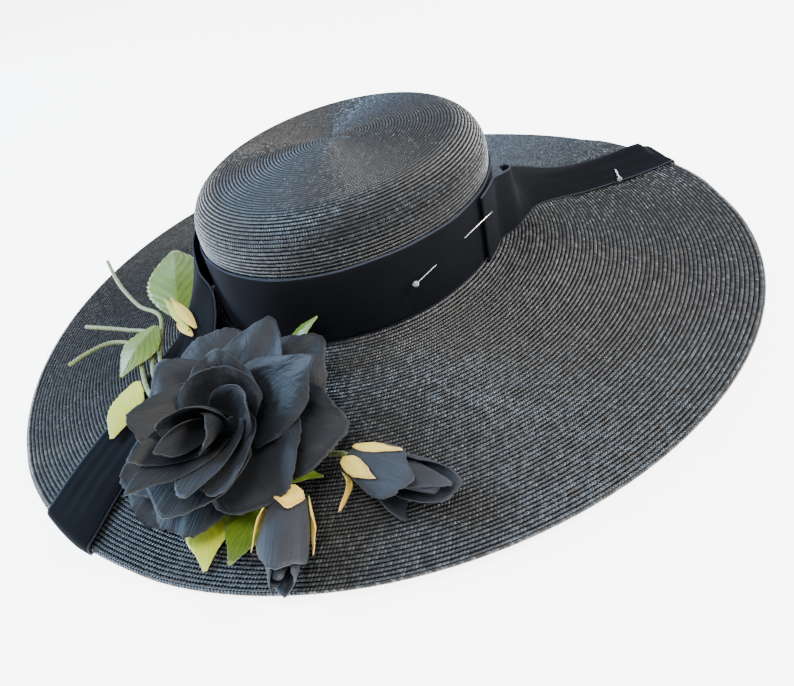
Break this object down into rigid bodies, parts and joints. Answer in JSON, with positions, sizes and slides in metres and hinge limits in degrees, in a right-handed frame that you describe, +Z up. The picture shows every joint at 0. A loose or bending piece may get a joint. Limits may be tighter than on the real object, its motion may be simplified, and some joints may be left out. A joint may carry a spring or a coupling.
{
  "type": "picture hat",
  "caption": "Wide black straw picture hat with a low oval crown, a gently waved brim, a pinned velvet ribbon and a spray of an open silk rose, buds, leaves and cut stems.",
  "frame": {"origin": "on the surface the hat rests on, under the middle of the brim", "axes": "+Z up out of the crown, -Y towards the hat's front, where the rose is, +Y along the longer way of the oval brim, +X to the wearer's left"},
  "size_m": [0.404, 0.4453, 0.0856],
  "materials": {
    "straw_braid": "glossy fine straw braid, sewn round in narrow rows, near black",
    "velvet": "matt velvet with a soft nap, near black with a hint of navy",
    "petal_silk": "satin silk, blue-grey black",
    "leaf_cloth": "stiffened glazed cloth, olive green",
    "leaf_cloth_pale": "stiffened glazed cloth, yellow green",
    "sepal_cloth": "stiffened cloth, cream yellow",
    "stem_wrap": "wire wrapped in pale olive crepe",
    "steel": "polished steel wire"
  },
  "bodies": {
    "root": {"brim": "straw_braid", "crown": "straw_braid", "ribbon_band": "velvet", "ribbon_tail_front": "velvet", "ribbon_tail_back": "velvet", "band_pin": "steel", "tail_pin": "steel", "rose_core": "petal_silk", "rose_petal_01": "petal_silk", "rose_petal_02": "petal_silk", "rose_petal_03": "petal_silk", "rose_petal_04": "petal_silk", "rose_petal_05": "petal_silk", "rose_petal_06": "petal_silk", "rose_petal_07": "petal_silk", "rose_petal_08": "petal_silk", "rose_petal_09": "petal_silk", "rose_petal_10": "petal_silk", "rose_petal_11": "petal_silk", "rose_petal_12": "petal_silk", "rose_petal_13": "petal_silk", "rose_petal_14": "petal_silk", "rose_petal_15": "petal_silk", "rose_petal_16": "petal_silk", "rose_petal_17": "petal_silk", "rose_petal_18": "petal_silk", "rose_petal_19": "petal_silk", "rose_petal_20": "petal_silk", "rose_petal_21": "petal_silk", "rose_petal_22": "petal_silk", "rose_petal_23": "petal_silk", "bud_1_core": "petal_silk", "bud_1_petal_1": "petal_silk", "bud_1_petal_2": "petal_silk", "bud_1_petal_3": "petal_silk", "bud_1_sepal_1": "sepal_cloth", "bud_1_sepal_2": "sepal_cloth", "bud_1_sepal_3": "sepal_cloth", "bud_2_core": "petal_silk", "bud_2_petal_1": "petal_silk", "bud_2_petal_2": "petal_silk", "bud_2_petal_3": "petal_silk", "bud_2_petal_4": "petal_silk", "bud_2_sepal_1": "sepal_cloth", "bud_2_sepal_2": "sepal_cloth", "bud_2_sepal_3": "sepal_cloth", "leaf_1": "leaf_cloth", "leaf_2": "leaf_cloth", "leaf_3": "leaf_cloth_pale", "leaf_4": "leaf_cloth", "leaf_5": "leaf_cloth_pale", "leaf_6": "leaf_cloth", "leaf_7": "leaf_cloth", "rose_sepal": "sepal_cloth", "stem_1": "stem_wrap", "stem_2": "stem_wrap", "stem_3": "stem_wrap", "bud_1_stem": "stem_wrap", "bud_2_stem": "stem_wrap"}
  },
  "joints": []
}
